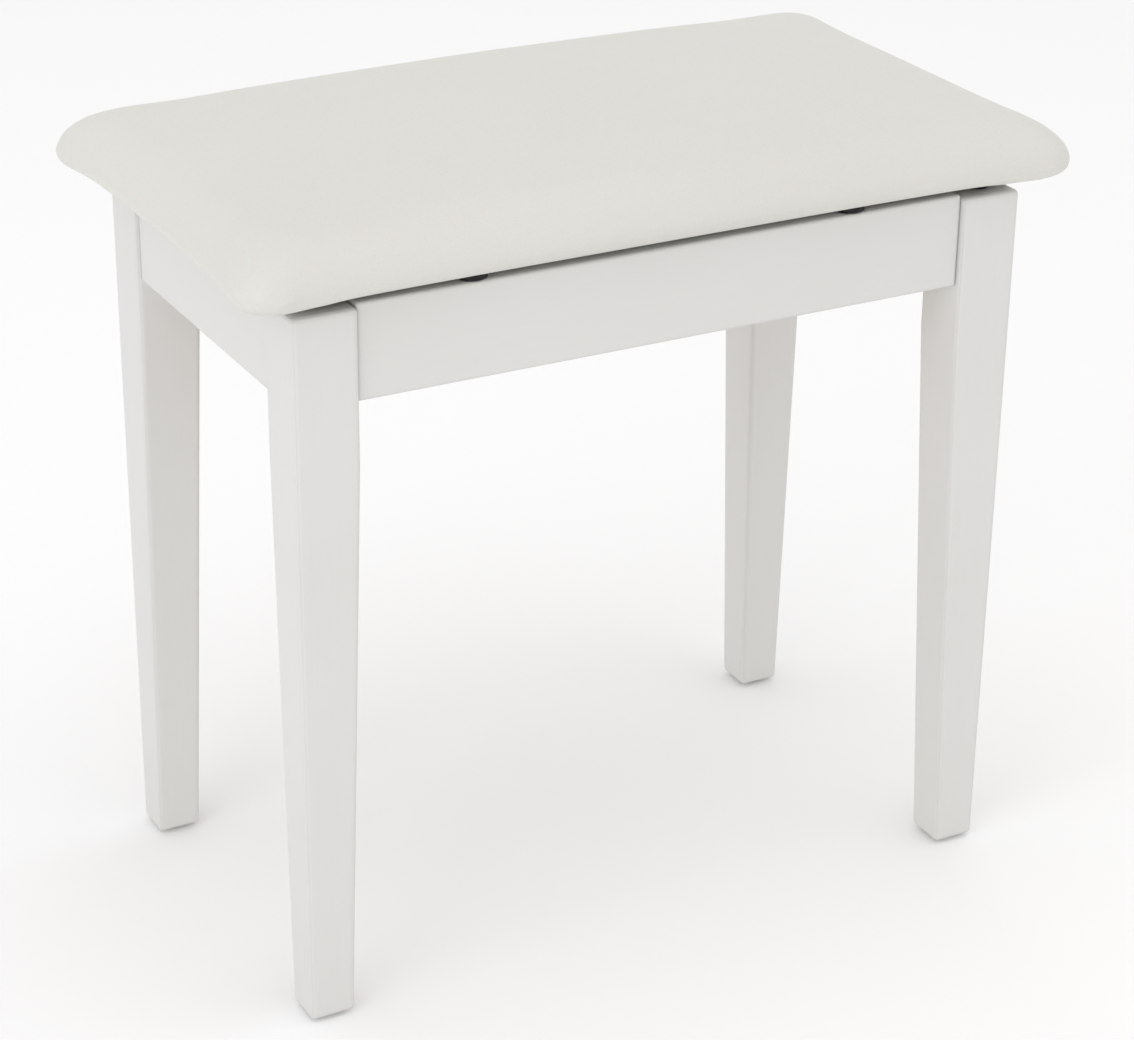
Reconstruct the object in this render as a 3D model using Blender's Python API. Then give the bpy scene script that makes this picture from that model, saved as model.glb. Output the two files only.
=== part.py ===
"""Piano bench: four tapered legs, an apron box with a shallow music compartment,
and a padded lid that is hinged along the back.

Metres, +Z up.  The origin is on the floor under the middle of the bench, +X runs
to the right-hand end and -Y is the front, where the player's knees are.
"""

import math

import bmesh
import bpy
from mathutils import Matrix, Vector

# ---- fits ----
GAP = 0.0003                  # between pieces that touch
TURN_GAP = 0.0004             # between pieces that turn past each other

# ---- frame ----
FRAME_LENGTH = 0.460          # outer face to outer face of the legs, along X
FRAME_DEPTH = 0.264           # the same along Y
LEG_TOP = 0.435
LEG_SECTION = 0.038
FOOT_SECTION = 0.027          # the two inner faces taper down to this
LEG_STRAIGHT = 0.0355         # straight length below the aprons, above the taper
LEG_ROUND = 0.0025
APRON_RISE = 0.0015           # aprons' top above the legs' tops
APRON_HEIGHT = 0.056
APRON_THICKNESS = 0.018
APRON_ROUND = 0.0015
LONG_APRON_SETBACK = 0.004    # front and rear aprons behind the legs' outer faces
SHORT_APRON_SETBACK = 0.002   # left and right aprons

# ---- compartment floor ----
FLOOR_THICKNESS = 0.004
FLOOR_ABOVE_APRON = 0.006     # groove's height above the aprons' lower edge
GROOVE_DEPTH = 0.005

# ---- corner brackets and their fastenings ----
BRACKET_THICKNESS = 0.002
BRACKET_HEIGHT = 0.034
BRACKET_LIFT = 0.004          # above the compartment floor
BRACKET_STANDOFF = 0.004      # from the leg's inner corner
FLANGE_LENGTH = 0.022
BOLT_RADIUS = 0.003
BOLT_IN_LEG = 0.022
BOLT_PAST_NUT = 0.002
NUT_FLANGE_RADIUS = 0.0075
NUT_FLANGE_THICKNESS = 0.0013
NUT_RADIUS = 0.0058           # across corners, halved
NUT_HEIGHT = 0.006
BRACKET_SCREW = dict(head_radius=0.0034, head_height=0.0016, radius=0.0017, length=0.014)

# ---- glides and bumpers ----
GLIDE_RADIUS = 0.009
GLIDE_HEIGHT = 0.002
GLIDE_PIN_RADIUS = 0.0012
GLIDE_PIN_LENGTH = 0.012
BUMPER_RADIUS = 0.009
APRON_BUMPER_X = 0.120

# ---- lid ----
LID_GAP = 0.005               # from the aprons' top to the cover under the board
LID_OVERHANG_X = 0.0352       # cushion's widest line past the legs' outer faces
LID_OVERHANG_Y = 0.0188
CORNER_RADIUS = 0.028
SIDE_PULL = 0.0054            # how far the sides pull in between the corners
TUCK = 0.0154                 # how far the lower edge draws in below the widest line
WIDEST_HEIGHT = 0.0126        # of the widest line above the lid's bottom
ROLL = 0.029                  # width of the rounded shoulder
ROLL_HEIGHT = 0.0206
CROWN = 0.0131                # extra height at the middle
COVER_THICKNESS = 0.0009
COVER_LIP = 0.020             # width of cover that is stapled under the board
BOARD_THICKNESS = 0.012
BOARD_INSET = 0.004           # board's edge behind the cover's lower edge
DUST_THICKNESS = 0.0005
DUST_INSET = 0.010

# ---- hinges ----
HINGE_X = 0.110
HINGE_LENGTH = 0.050
LEAF_THICKNESS = 0.001
LEAF_FRONT = 0.023            # from the axis to the leaf's front edge
AXIS_BEHIND_LEGS = 0.002
KNUCKLE_RADIUS = 0.0019
PIN_RADIUS = 0.0009
LEAF_SCREW_BACK = 0.015       # from the axis to the screws
FRAME_SCREW_X = 0.017
LID_SCREW_X = 0.0085
LEAF_SCREW = dict(head_radius=0.0026, head_height=0.0005, radius=0.0013, length=0.010)

# ---- worked out ----
LEG_X = FRAME_LENGTH / 2
LEG_Y = FRAME_DEPTH / 2
APRON_TOP = LEG_TOP + APRON_RISE
LONG_INNER = LEG_Y - LONG_APRON_SETBACK - APRON_THICKNESS
SHORT_INNER = LEG_X - SHORT_APRON_SETBACK - APRON_THICKNESS
APRON_BOTTOM = APRON_TOP - APRON_HEIGHT
TAPER_TOP = APRON_BOTTOM - LEG_STRAIGHT
FLOOR_BOTTOM = APRON_BOTTOM + FLOOR_ABOVE_APRON
FLOOR_TOP = FLOOR_BOTTOM + FLOOR_THICKNESS
BRACKET_BOTTOM = FLOOR_TOP + BRACKET_LIFT
BRACKET_MIDDLE = BRACKET_BOTTOM + BRACKET_HEIGHT / 2
LEG_BOTTOM = GLIDE_HEIGHT + GAP
LID_BOTTOM = APRON_TOP + LID_GAP
LID_LENGTH = FRAME_LENGTH + 2 * LID_OVERHANG_X
LID_DEPTH = FRAME_DEPTH + 2 * LID_OVERHANG_Y
BOARD_BOTTOM = LID_BOTTOM + COVER_THICKNESS + GAP
BOARD_TOP = BOARD_BOTTOM + BOARD_THICKNESS
DUST_TOP = LID_BOTTOM - GAP
DUST_BOTTOM = DUST_TOP - DUST_THICKNESS
HINGE_Y = LEG_Y + AXIS_BEHIND_LEGS
FRAME_LEAF_BOTTOM = APRON_TOP + GAP
LID_LEAF_TOP = DUST_BOTTOM - GAP
HINGE_Z = (FRAME_LEAF_BOTTOM + LID_LEAF_TOP) / 2
LEAF_SCREW_Y = HINGE_Y - LEAF_SCREW_BACK
SIDES = {"left": -1, "right": 1}
ENDS = {"front": -1, "rear": 1}
CORNERS = {f"{end}_{side}": (sx, sy) for end, sy in ENDS.items() for side, sx in SIDES.items()}

# name: colour (sRGB), roughness, metallic
FINISHES = {
    "white_paint": ((0.87, 0.86, 0.85), 0.45, 0.0),
    "cream_leatherette": ((0.88, 0.86, 0.82), 0.40, 0.0),
    "polyurethane_foam": ((0.90, 0.86, 0.68), 0.95, 0.0),
    "birch_plywood": ((0.78, 0.65, 0.48), 0.60, 0.0),
    "hardboard": ((0.80, 0.79, 0.76), 0.60, 0.0),
    "black_felt": ((0.06, 0.06, 0.06), 0.95, 0.0),
    "black_rubber": ((0.05, 0.05, 0.05), 0.50, 0.0),
    "nylon": ((0.75, 0.75, 0.72), 0.40, 0.0),
    "zinc_plate": ((0.72, 0.73, 0.75), 0.35, 1.0),
}


# ---------- shaping ----------

def clear_scene():
    for item in list(bpy.data.objects):
        bpy.data.objects.remove(item, do_unlink=True)


def finish_material(name):
    """The Principled material of one finish, made once."""
    if name in bpy.data.materials:
        return bpy.data.materials[name]
    colour, roughness, metallic = FINISHES[name]
    material = bpy.data.materials.new(name)
    material.use_nodes = True
    shader = material.node_tree.nodes["Principled BSDF"]
    linear = [((c + 0.055) / 1.055) ** 2.4 for c in colour]
    shader.inputs["Base Color"].default_value = (*linear, 1.0)
    shader.inputs["Roughness"].default_value = roughness
    shader.inputs["Metallic"].default_value = metallic
    return material


def make_part(name, shape, finish=None, parent=None, origin=(0, 0, 0)):
    """Turn a bmesh in world coordinates into a named object, with its origin at `origin`."""
    bmesh.ops.recalc_face_normals(shape, faces=shape.faces)
    bmesh.ops.translate(shape, verts=shape.verts, vec=-Vector(origin))
    mesh = bpy.data.meshes.new(name)
    shape.to_mesh(mesh)
    shape.free()
    mesh.shade_smooth()
    mesh.set_sharp_from_angle(angle=math.radians(35))
    part = bpy.data.objects.new(name, mesh)
    bpy.context.collection.objects.link(part)
    if finish:
        mesh.materials.append(finish_material(finish))
    part.parent = parent
    part.location = Vector(origin) - (parent.location if parent else Vector())
    return part


def add_box(shape, low, high):
    """A box between two corners."""
    low, high = Vector(low), Vector(high)
    size = Matrix.Diagonal((*(high - low), 1.0))
    place = Matrix.Translation((low + high) / 2) @ size
    bmesh.ops.create_cube(shape, size=1.0, matrix=place)


def add_skin(shape, rings, close_start=True, close_end=True):
    """Quads between rings of equal length, with a flat face on each closed end."""
    loops = [[shape.verts.new(point) for point in ring] for ring in rings]
    for lower, upper in zip(loops, loops[1:]):
        for i in range(len(lower)):
            j = (i + 1) % len(lower)
            shape.faces.new((lower[i], lower[j], upper[j], upper[i]))
    if close_start:
        shape.faces.new(loops[0][::-1])
    if close_end:
        shape.faces.new(loops[-1])
    return loops


def add_turned(shape, profile, place, sides=12):
    """A solid turned about local Z from (radius, height) points, lowest first."""
    angles = [2 * math.pi * i / sides for i in range(sides)]
    rings = [
        [place @ Vector((r * math.cos(a), r * math.sin(a), z)) for a in angles]
        for r, z in profile
    ]
    add_skin(shape, rings)


def add_rod(shape, radius, low, high, place, sides=12):
    add_turned(shape, [(radius, low), (radius, high)], place, sides)


def add_screw(shape, place, head_radius, head_height, radius, length):
    """A pan-head screw whose head seats at local Z = 0 and whose point is at +Z."""
    profile = [
        (0.7 * head_radius, -head_height),
        (head_radius, 0.0),
        (radius, 0.0),
        (radius, length - 1.5 * radius),
        (0.3 * radius, length),
    ]
    add_turned(shape, profile, place, sides=8)


def add_extruded(shape, outline, low, high):
    """A plan outline of (x, y) points drawn up from z = low to z = high."""
    add_skin(shape, [[(x, y, z) for x, y in outline] for z in (low, high)])


def round_edges(part, width, segments=2):
    bevel = part.modifiers.new("round", "BEVEL")
    bevel.width = width
    bevel.segments = segments
    bevel.limit_method = "ANGLE"
    bevel.angle_limit = math.radians(40)


def combine(part, shape, operation):
    """Cut a bmesh out of a part, or join it on, with an exact Boolean."""
    tool = make_part(f"{part.name}.{operation.lower()}", shape)
    tool.hide_render = True
    tool.display_type = "WIRE"
    modifier = part.modifiers.new(operation.lower(), "BOOLEAN")
    modifier.operation = operation
    modifier.object = tool


def pointing(origin, direction):
    """The matrix that puts local Z along `direction` at `origin`."""
    turn = Vector((0, 0, 1)).rotation_difference(Vector(direction)).to_matrix().to_4x4()
    return Matrix.Translation(origin) @ turn


# ---------- fastening places ----------

def corner_place(sx, sy, along=0.0):
    """On the leg's inner edge at bracket height, local Z pointing to the bench's middle."""
    inward = Vector((-sx, -sy, 0)).normalized()
    corner = Vector((sx * (LEG_X - LEG_SECTION), sy * (LEG_Y - LEG_SECTION), BRACKET_MIDDLE))
    return pointing(corner + along * inward, inward)


def web_line(depth):
    """x + y on the bracket's diagonal web, `depth` beyond its face towards the leg."""
    corner = LEG_X - LEG_SECTION + LEG_Y - LEG_SECTION
    return corner - math.sqrt(2) * (BRACKET_STANDOFF + depth)


def bracket_screw_places(sx, sy):
    """Heads on the bracket's flanges: one point in the long apron, one in the short."""
    near = web_line(0)
    seat = GAP + BRACKET_THICKNESS + GAP
    x_on_long = near - (LONG_INNER - GAP) - FLANGE_LENGTH / 2
    y_on_short = near - (SHORT_INNER - GAP) - FLANGE_LENGTH / 2
    z = BRACKET_MIDDLE
    return [
        pointing((sx * x_on_long, sy * (LONG_INNER - seat), z), (0, sy, 0)),
        pointing((sx * (SHORT_INNER - seat), sy * y_on_short, z), (sx, 0, 0)),
    ]


def leaf_screw_places(side, z, offset, direction):
    """The two screws of one leaf."""
    xs = (side * HINGE_X - offset, side * HINGE_X + offset)
    return [pointing((x, LEAF_SCREW_Y, z), (0, 0, direction)) for x in xs]


def frame_leaf_screw_places(side):
    return leaf_screw_places(side, FRAME_LEAF_BOTTOM + LEAF_THICKNESS + GAP, FRAME_SCREW_X, -1)


def lid_leaf_screw_places(side):
    return leaf_screw_places(side, LID_LEAF_TOP - LEAF_THICKNESS - GAP, LID_SCREW_X, 1)


def both_lid_leaf_screw_places():
    return lid_leaf_screw_places(-1) + lid_leaf_screw_places(1)


def cut_screw_holes(part, places, screw, clearance=GAP):
    """Clear holes for the screws' shanks, a little longer than the screws."""
    holes = bmesh.new()
    for place in places:
        add_rod(holes, screw["radius"] + clearance, -0.002, screw["length"] + 0.001, place, 8)
    combine(part, holes, "DIFFERENCE")


# ---------- frame ----------

def make_leg(name, sx, sy):
    """Square leg with straight outer faces and two inner faces that taper below the apron."""
    rings = []
    for z, section in ((LEG_BOTTOM, FOOT_SECTION), (TAPER_TOP, LEG_SECTION), (LEG_TOP, LEG_SECTION)):
        x_in, y_in = LEG_X - section, LEG_Y - section
        square = ((LEG_X, LEG_Y), (x_in, LEG_Y), (x_in, y_in), (LEG_X, y_in))
        rings.append([(sx * x, sy * y, z) for x, y in square])
    shape = bmesh.new()
    add_skin(shape, rings)
    leg = make_part(f"leg_{name}", shape, "white_paint")
    round_edges(leg, LEG_ROUND)
    holes = bmesh.new()
    bolt = BOLT_RADIUS + GAP
    add_rod(holes, bolt, -BOLT_IN_LEG - 0.001, 0.005, corner_place(sx, sy))
    pin = GLIDE_PIN_RADIUS + GAP
    add_rod(holes, pin, 0, GLIDE_PIN_LENGTH + 0.002, foot_place(sx, sy), 8)
    combine(leg, holes, "DIFFERENCE")


def foot_place(sx, sy):
    """On the floor under the middle of a foot."""
    inset = FOOT_SECTION / 2
    return Matrix.Translation((sx * (LEG_X - inset), sy * (LEG_Y - inset), 0))


def make_foot_glide(name, sx, sy):
    """A nylon disc with its nail, under one foot."""
    profile = [
        (GLIDE_RADIUS - 0.0006, 0),
        (GLIDE_RADIUS, 0.0006),
        (GLIDE_RADIUS, GLIDE_HEIGHT),
        (GLIDE_PIN_RADIUS, GLIDE_HEIGHT),
        (GLIDE_PIN_RADIUS, GLIDE_PIN_LENGTH),
    ]
    shape = bmesh.new()
    add_turned(shape, profile, foot_place(sx, sy), sides=12)
    make_part(f"foot_glide_{name}", shape, "nylon")


def make_apron(name, low, high, screw_places):
    """A board between two legs, grooved inside for the compartment floor."""
    shape = bmesh.new()
    add_box(shape, low, high)
    apron = make_part(f"apron_{name}", shape, "white_paint")
    round_edges(apron, APRON_ROUND)
    groove = bmesh.new()
    across = (SHORT_INNER + GROOVE_DEPTH, LONG_INNER + GROOVE_DEPTH)
    bottom = FLOOR_BOTTOM - GAP
    add_box(groove, (-across[0], -across[1], bottom), (*across, FLOOR_TOP + GAP))
    combine(apron, groove, "DIFFERENCE")
    cut_screw_holes(apron, screw_places, BRACKET_SCREW)
    return apron


def make_aprons():
    long_end = LEG_X - LEG_SECTION - GAP
    short_end = LEG_Y - LEG_SECTION - GAP
    for name, sy in ENDS.items():
        y_in, y_out = sorted((sy * LONG_INNER, sy * (LONG_INNER + APRON_THICKNESS)))
        low = (-long_end, y_in, APRON_BOTTOM)
        places = [bracket_screw_places(sx, sy)[0] for sx in (-1, 1)]
        apron = make_apron(name, low, (long_end, y_out, APRON_TOP), places)
        if name == "rear":
            leaf_places = frame_leaf_screw_places(-1) + frame_leaf_screw_places(1)
            cut_screw_holes(apron, leaf_places, LEAF_SCREW)
    for name, sx in SIDES.items():
        x_in, x_out = sorted((sx * SHORT_INNER, sx * (SHORT_INNER + APRON_THICKNESS)))
        low = (x_in, -short_end, APRON_BOTTOM)
        places = [bracket_screw_places(sx, sy)[1] for sy in (-1, 1)]
        make_apron(name, low, (x_out, short_end, APRON_TOP), places)


def make_compartment_floor():
    """A thin panel held in the aprons' grooves, notched round the legs."""
    x = SHORT_INNER + GROOVE_DEPTH - GAP
    y = LONG_INNER + GROOVE_DEPTH - GAP
    nx = LEG_X - LEG_SECTION - GAP
    ny = LEG_Y - LEG_SECTION - GAP
    quarter = [(x, -ny), (x, ny), (nx, ny), (nx, y)]
    outline = quarter + [(-px, py) for px, py in reversed(quarter[2:])]
    outline += [(-x, ny), (-x, -ny), (-nx, -ny), (-nx, -y), (nx, -y), (nx, -ny)]
    shape = bmesh.new()
    add_extruded(shape, outline, FLOOR_BOTTOM, FLOOR_TOP)
    make_part("compartment_floor", shape, "hardboard")


# ---------- corner fastenings ----------

def make_corner_bracket(name, sx, sy):
    """A bent strip: a diagonal web in front of the leg and a flange on each apron."""
    long_face, short_face = LONG_INNER - GAP, SHORT_INNER - GAP
    x_end = web_line(0) - long_face - FLANGE_LENGTH
    y_end = web_line(0) - short_face - FLANGE_LENGTH

    def side(depth):
        y, x, line = long_face - depth, short_face - depth, web_line(depth)
        return [(x_end, y), (line - y, y), (x, line - x), (x, y_end)]

    outline = side(0) + side(BRACKET_THICKNESS)[::-1]
    outline = [(sx * x, sy * y) for x, y in outline]
    shape = bmesh.new()
    add_extruded(shape, outline, BRACKET_BOTTOM, BRACKET_BOTTOM + BRACKET_HEIGHT)
    bracket = make_part(f"corner_bracket_{name}", shape, "zinc_plate")
    cut_screw_holes(bracket, bracket_screw_places(sx, sy), BRACKET_SCREW, 2 * GAP)
    bolt_hole = bmesh.new()
    radius = BOLT_RADIUS + 2 * GAP
    add_rod(bolt_hole, radius, 0, 2 * BRACKET_STANDOFF, corner_place(sx, sy))
    combine(bracket, bolt_hole, "DIFFERENCE")


def make_corner_fastenings(name, sx, sy):
    """The hanger bolt and flange nut that draw the leg into its corner, and the screws."""
    place = corner_place(sx, sy)
    nut_at = BRACKET_STANDOFF + BRACKET_THICKNESS + GAP
    bolt = bmesh.new()
    add_rod(bolt, BOLT_RADIUS, -BOLT_IN_LEG, nut_at + NUT_HEIGHT + BOLT_PAST_NUT, place)
    make_part(f"hanger_bolt_{name}", bolt, "zinc_plate")
    nut = bmesh.new()
    add_flange_nut(nut, nut_at, place)
    make_part(f"flange_nut_{name}", nut, "zinc_plate")
    for number, screw_place in enumerate(bracket_screw_places(sx, sy), 1):
        screw = bmesh.new()
        add_screw(screw, screw_place, **BRACKET_SCREW)
        make_part(f"bracket_screw_{name}_{number}", screw, "zinc_plate")


def add_flange_nut(shape, start, place):
    """A hexagon on a round flange, bored for the bolt: six closed loops of 12 points."""
    flat = NUT_RADIUS * math.cos(math.radians(30))
    bore = BOLT_RADIUS + GAP
    top, flange_top = start + NUT_HEIGHT, start + NUT_FLANGE_THICKNESS
    sections = [
        (bore, bore, start),
        (NUT_FLANGE_RADIUS, NUT_FLANGE_RADIUS, start),
        (NUT_FLANGE_RADIUS, NUT_FLANGE_RADIUS, flange_top),
        (NUT_RADIUS, flat, flange_top),
        (NUT_RADIUS, flat, top),
        (bore, bore, top),
    ]
    loops = []
    for corner, middle, z in sections:
        points = []
        for i in range(12):
            angle = math.radians(30 * i)
            radius = middle if i % 2 else corner
            points.append(place @ Vector((radius * math.cos(angle), radius * math.sin(angle), z)))
        loops.append(points)
    rings = add_skin(shape, loops, close_start=False, close_end=False)
    join_rings(shape, rings[-1], rings[0])


def join_rings(shape, first, second):
    """Close a tube of rings by joining its two ends."""
    for i in range(len(first)):
        j = (i + 1) % len(first)
        shape.faces.new((first[i], first[j], second[j], second[i]))


# ---------- bumpers ----------

def make_bumper(name, x, y, z):
    """A round rubber pad standing at height z, which the lid rests on."""
    height = DUST_BOTTOM - GAP - (z + GAP)
    profile = [
        (BUMPER_RADIUS, 0),
        (BUMPER_RADIUS, 0.45 * height),
        (0.93 * BUMPER_RADIUS, 0.8 * height),
        (0.8 * BUMPER_RADIUS, height),
    ]
    shape = bmesh.new()
    add_turned(shape, profile, Matrix.Translation((x, y, z + GAP)), sides=16)
    make_part(f"bumper_{name}", shape, "black_rubber")


def make_bumpers():
    """One on each leg and two along the front apron."""
    inset = LEG_SECTION / 2
    for name, (sx, sy) in CORNERS.items():
        make_bumper(name, sx * (LEG_X - inset), sy * (LEG_Y - inset), LEG_TOP)
    for name, side in SIDES.items():
        y = -(LONG_INNER + APRON_THICKNESS / 2)
        make_bumper(f"apron_{name}", side * APRON_BUMPER_X, y, APRON_TOP)


# ---------- lid ----------

def lid_outline(corner_steps=4, long_steps=6, short_steps=4):
    """Plan of the lid's widest line: round corners, and sides pulled in between them."""
    half_x, half_y = LID_LENGTH / 2, LID_DEPTH / 2
    cx, cy = half_x - CORNER_RADIUS, half_y - CORNER_RADIUS
    points = []
    for k, (sx, sy) in enumerate(((1, 1), (-1, 1), (-1, -1), (1, -1))):
        for i in range(corner_steps + 1):
            angle = math.radians(90 * (k + i / corner_steps))
            x = sx * cx + CORNER_RADIUS * math.cos(angle)
            y = sy * cy + CORNER_RADIUS * math.sin(angle)
            points.append((x, y))
        steps = long_steps if k % 2 == 0 else short_steps
        nx, ny = (-sx * cx, sy * half_y) if k % 2 == 0 else (sx * half_x, -sy * cy)
        x, y = points[-1]
        for i in range(1, steps):
            points.append((x + (nx - x) * i / steps, y + (ny - y) * i / steps))
    return [pull_in(x, y, half_x, half_y) for x, y in points]


def pull_in(x, y, half_x, half_y):
    """Draw a point on a side in by SIDE_PULL at the side's middle, fading to its corners."""
    u, v = x / half_x, y / half_y
    x -= math.copysign(SIDE_PULL, x) * (1 - v * v) * abs(u) ** 8
    y -= math.copysign(SIDE_PULL, y) * (1 - u * u) * abs(v) ** 8
    return x, y


def lid_ring(inset, height, crowned=False, z_drop=0.0, scale=1.0):
    """The outline drawn in by `inset`, `height` above the lid's bottom, perhaps crowned."""
    half_x, half_y = LID_LENGTH / 2, LID_DEPTH / 2
    ring = []
    for x, y in lid_outline():
        x *= scale * (1 - inset / half_x)
        y *= scale * (1 - inset / half_y)
        rise = CROWN * (1 - (x / half_x) ** 2) * (1 - (y / half_y) ** 2) if crowned else 0
        ring.append((x, y, LID_BOTTOM + height + rise - z_drop))
    return ring


def wall_rings(shrink, start):
    """The side from `start` above the bottom to the widest line, which bulges out."""
    rings = []
    for height in (start, *(WIDEST_HEIGHT * k / 4 for k in (1, 2, 3))):
        tucked = TUCK * (1 - math.sin(math.pi / 2 * height / WIDEST_HEIGHT))
        rings.append(lid_ring(tucked + shrink, height))
    return rings


def top_rings(shrink):
    """The widest line, the round shoulder and the crown, lowered by `shrink` all over."""
    rings = [lid_ring(shrink, WIDEST_HEIGHT)]
    for k in (1, 2, 3, 4):
        turn = math.radians(90) * k / 4
        inset = ROLL * (1 - math.cos(turn))
        height = WIDEST_HEIGHT + ROLL_HEIGHT * math.sin(turn) ** 1.2
        rings.append(lid_ring(inset + shrink, height, crowned=True, z_drop=shrink))
    top = WIDEST_HEIGHT + ROLL_HEIGHT
    for scale in (0.7, 0.4, 0.08):
        rings.append(lid_ring(ROLL + shrink, top, True, shrink, scale))
    return rings


def make_seat_cover(lid):
    """Leatherette drawn over the pad and turned under the board's edge."""
    lip = TUCK + COVER_LIP
    outer = [lid_ring(lip, 0), *wall_rings(0, 0), *top_rings(0)]
    inner_wall = wall_rings(COVER_THICKNESS, COVER_THICKNESS)
    inner = [lid_ring(lip, COVER_THICKNESS), *inner_wall, *top_rings(COVER_THICKNESS)]
    shape = bmesh.new()
    outside = add_skin(shape, outer, close_start=False)
    inside = add_skin(shape, inner, close_start=False)
    join_rings(shape, outside[0], inside[0])
    cover = make_part("seat_cover", shape, "cream_leatherette", lid, lid.location)
    cut_screw_holes(cover, both_lid_leaf_screw_places(), LEAF_SCREW)


def make_seat_foam(lid):
    """The pad: it sits on the board and its edge hangs down round it."""
    shrink = COVER_THICKNESS + 1.5 * GAP
    board = TUCK + BOARD_INSET - 1.5 * GAP
    skirt = BOARD_BOTTOM - LID_BOTTOM + GAP
    rings = [
        lid_ring(board, BOARD_TOP - LID_BOTTOM + GAP),
        lid_ring(board, skirt),
        *wall_rings(shrink, skirt),
        *top_rings(shrink),
    ]
    shape = bmesh.new()
    add_skin(shape, rings)
    make_part("seat_foam", shape, "polyurethane_foam", lid, lid.location)


def make_seat_board(lid):
    """Plywood that the pad and the hinges are fixed to."""
    inset = TUCK + BOARD_INSET
    shape = bmesh.new()
    heights = (BOARD_BOTTOM - LID_BOTTOM, BOARD_TOP - LID_BOTTOM)
    add_skin(shape, [lid_ring(inset, height) for height in heights])
    board = make_part("seat_board", shape, "birch_plywood", lid, lid.location)
    cut_screw_holes(board, both_lid_leaf_screw_places(), LEAF_SCREW)


def make_dust_cover(lid):
    """Thin black cloth over the board's underside and the staples."""
    inset = TUCK + DUST_INSET
    shape = bmesh.new()
    heights = (DUST_BOTTOM - LID_BOTTOM, DUST_TOP - LID_BOTTOM)
    add_skin(shape, [lid_ring(inset, height) for height in heights])
    cloth = make_part("seat_dust_cover", shape, "black_felt", lid, lid.location)
    cut_screw_holes(cloth, both_lid_leaf_screw_places(), LEAF_SCREW)


# ---------- hinges ----------

def leaf_outline(centre, knuckle_is_middle):
    """Plan of a leaf: it reaches the axis at its own knuckles and stops short of the others."""
    back = HINGE_Y
    short = HINGE_Y - KNUCKLE_RADIUS - TURN_GAP
    front = HINGE_Y - LEAF_FRONT
    end = HINGE_LENGTH / 2
    step = HINGE_LENGTH / 6 + (-TURN_GAP / 2 if knuckle_is_middle else TURN_GAP / 2)
    outer, middle = (short, back) if knuckle_is_middle else (back, short)
    half = [(end, front), (end, outer), (step, outer), (step, middle)]
    mirrored = [(-x, y) for x, y in reversed(half)]
    return [(centre + x, y) for x, y in half + mirrored]


def make_leaf(name, side, knuckle_is_middle, bottom, screw_places, parent=None):
    """One leaf of a butt hinge, with its knuckles bored for the pin."""
    centre = side * HINGE_X
    shape = bmesh.new()
    add_extruded(shape, leaf_outline(centre, knuckle_is_middle), bottom, bottom + LEAF_THICKNESS)
    axis = Vector((centre, HINGE_Y, HINGE_Z))
    leaf = make_part(name, shape, "zinc_plate", parent, axis)
    along = pointing(axis, (1, 0, 0))
    third = HINGE_LENGTH / 6
    barrels = bmesh.new()
    if knuckle_is_middle:
        reach = third - TURN_GAP / 2
        add_rod(barrels, KNUCKLE_RADIUS, -reach, reach, along)
    else:
        for turn in (-1, 1):
            start, stop = sorted((turn * (third + TURN_GAP / 2), turn * HINGE_LENGTH / 2))
            add_rod(barrels, KNUCKLE_RADIUS, start, stop, along)
    combine(leaf, barrels, "UNION")
    bore = bmesh.new()
    add_rod(bore, PIN_RADIUS + GAP, -HINGE_LENGTH, HINGE_LENGTH, along)
    combine(leaf, bore, "DIFFERENCE")
    cut_screw_holes(leaf, screw_places, LEAF_SCREW, 2 * GAP)


def make_hinge(name, side, lid):
    """A three-knuckle butt hinge between the rear apron and the lid, with its screws."""
    frame_places = frame_leaf_screw_places(side)
    lid_places = lid_leaf_screw_places(side)
    make_leaf(f"hinge_frame_leaf_{name}", side, False, FRAME_LEAF_BOTTOM, frame_places)
    lid_leaf_bottom = LID_LEAF_TOP - LEAF_THICKNESS
    make_leaf(f"hinge_lid_leaf_{name}", side, True, lid_leaf_bottom, lid_places, lid)
    axis = Vector((side * HINGE_X, HINGE_Y, HINGE_Z))
    pin = bmesh.new()
    half = HINGE_LENGTH / 2
    add_rod(pin, PIN_RADIUS, -half, half, pointing(axis, (1, 0, 0)))
    make_part(f"hinge_pin_{name}", pin, "zinc_plate", None, axis)
    for number in (1, 2):
        screw = bmesh.new()
        add_screw(screw, frame_places[number - 1], **LEAF_SCREW)
        make_part(f"hinge_frame_screw_{name}_{number}", screw, "zinc_plate")
        screw = bmesh.new()
        add_screw(screw, lid_places[number - 1], **LEAF_SCREW)
        make_part(f"hinge_lid_screw_{name}_{number}", screw, "zinc_plate", lid, lid.location)


# ---------- the bench ----------

clear_scene()

for corner, signs in CORNERS.items():
    make_leg(corner, *signs)
    make_foot_glide(corner, *signs)
    make_corner_bracket(corner, *signs)
    make_corner_fastenings(corner, *signs)
make_aprons()
make_compartment_floor()
make_bumpers()

lid_axis = bpy.data.objects.new("lid_axis", None)
lid_axis.location = (0, HINGE_Y, HINGE_Z)
bpy.context.collection.objects.link(lid_axis)
make_seat_board(lid_axis)
make_seat_foam(lid_axis)
make_seat_cover(lid_axis)
make_dust_cover(lid_axis)
for hinge_name, hinge_side in SIDES.items():
    make_hinge(hinge_name, hinge_side, lid_axis)
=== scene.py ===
"""The looks of a piano bench: white lacquered legs and aprons, a shallow music
compartment, and a cream leatherette pad on a lid that is hinged along the back.
"""

import math

import bmesh
import bpy
import numpy as np
from mathutils import Matrix, Vector


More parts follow.
